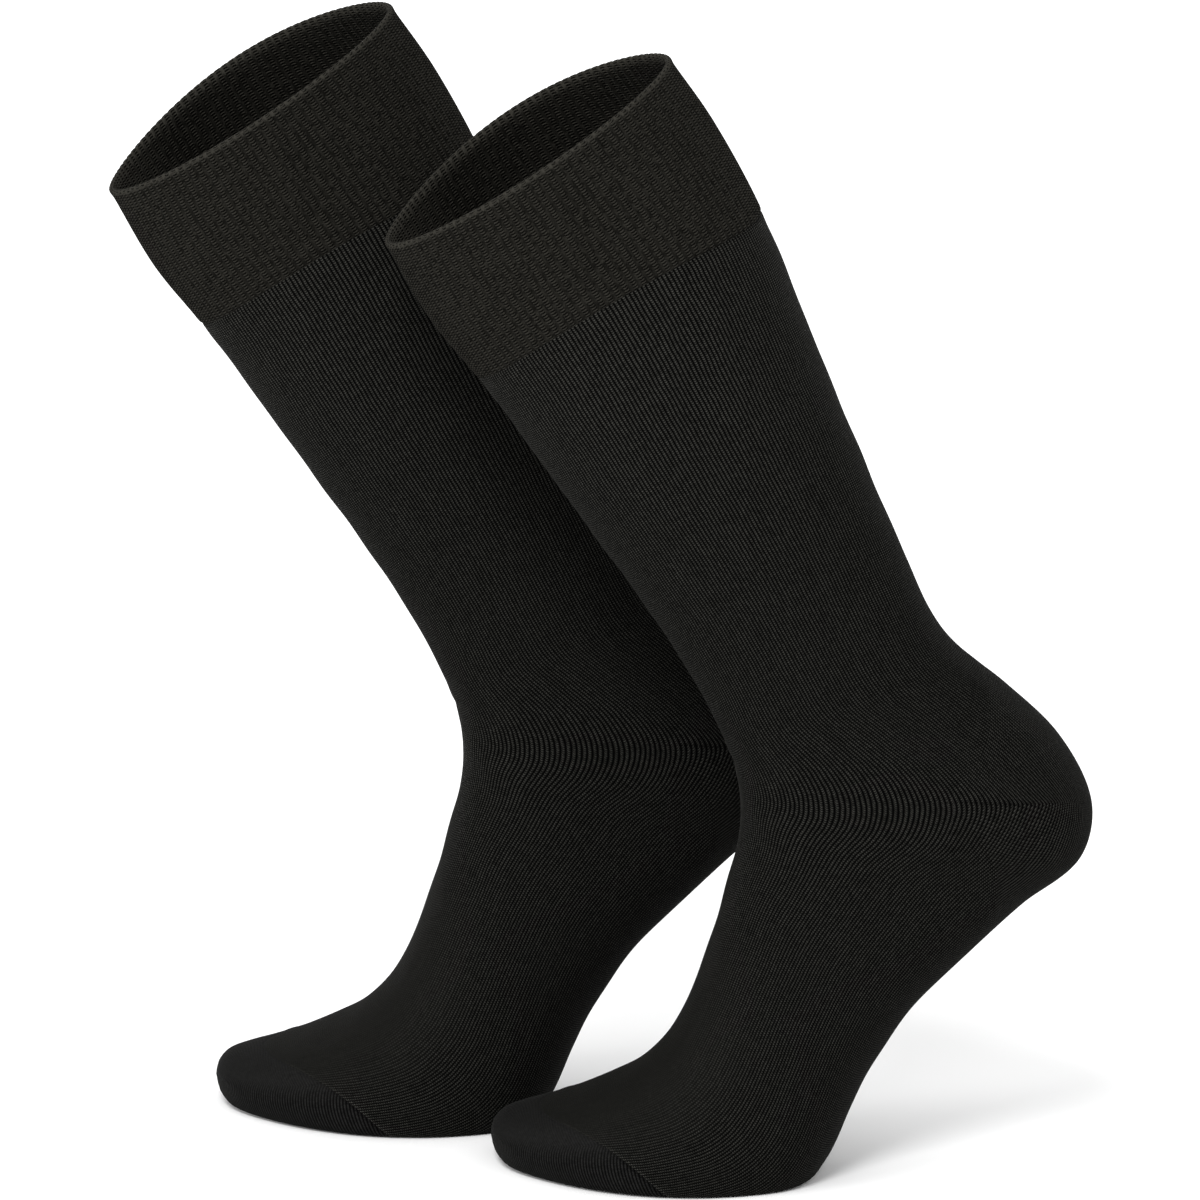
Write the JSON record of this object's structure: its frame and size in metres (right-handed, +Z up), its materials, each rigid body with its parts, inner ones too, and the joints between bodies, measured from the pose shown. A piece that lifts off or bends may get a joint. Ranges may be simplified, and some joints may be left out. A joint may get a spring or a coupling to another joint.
{
  "type": "pair of socks",
  "caption": "Calf-length dress socks in fine black knit with ribbed cuffs, filled out on a raised heel, each one hollow from its open mouth to the closed toe.",
  "frame": {"origin": "middle of the near sock's mouth, where the wearer's calf holds it", "axes": "+Z up, -X towards the toes, +X towards the heels, +Y from the near sock across to the far one"},
  "size_m": [0.3274, 0.1919, 0.3773],
  "materials": {
    "ribbed_knit": "matt ribbed cotton knit",
    "plain_knit": "matt fine-gauge cotton knit",
    "pocket_knit": "matt fine-gauge knit, denser at heel and toe"
  },
  "bodies": {
    "root": {"near_cuff": "ribbed_knit", "near_leg": "plain_knit", "near_heel": "pocket_knit", "near_foot": "plain_knit", "near_toe": "pocket_knit", "far_cuff": "ribbed_knit", "far_leg": "plain_knit", "far_heel": "pocket_knit", "far_foot": "plain_knit", "far_toe": "pocket_knit"}
  },
  "joints": []
}
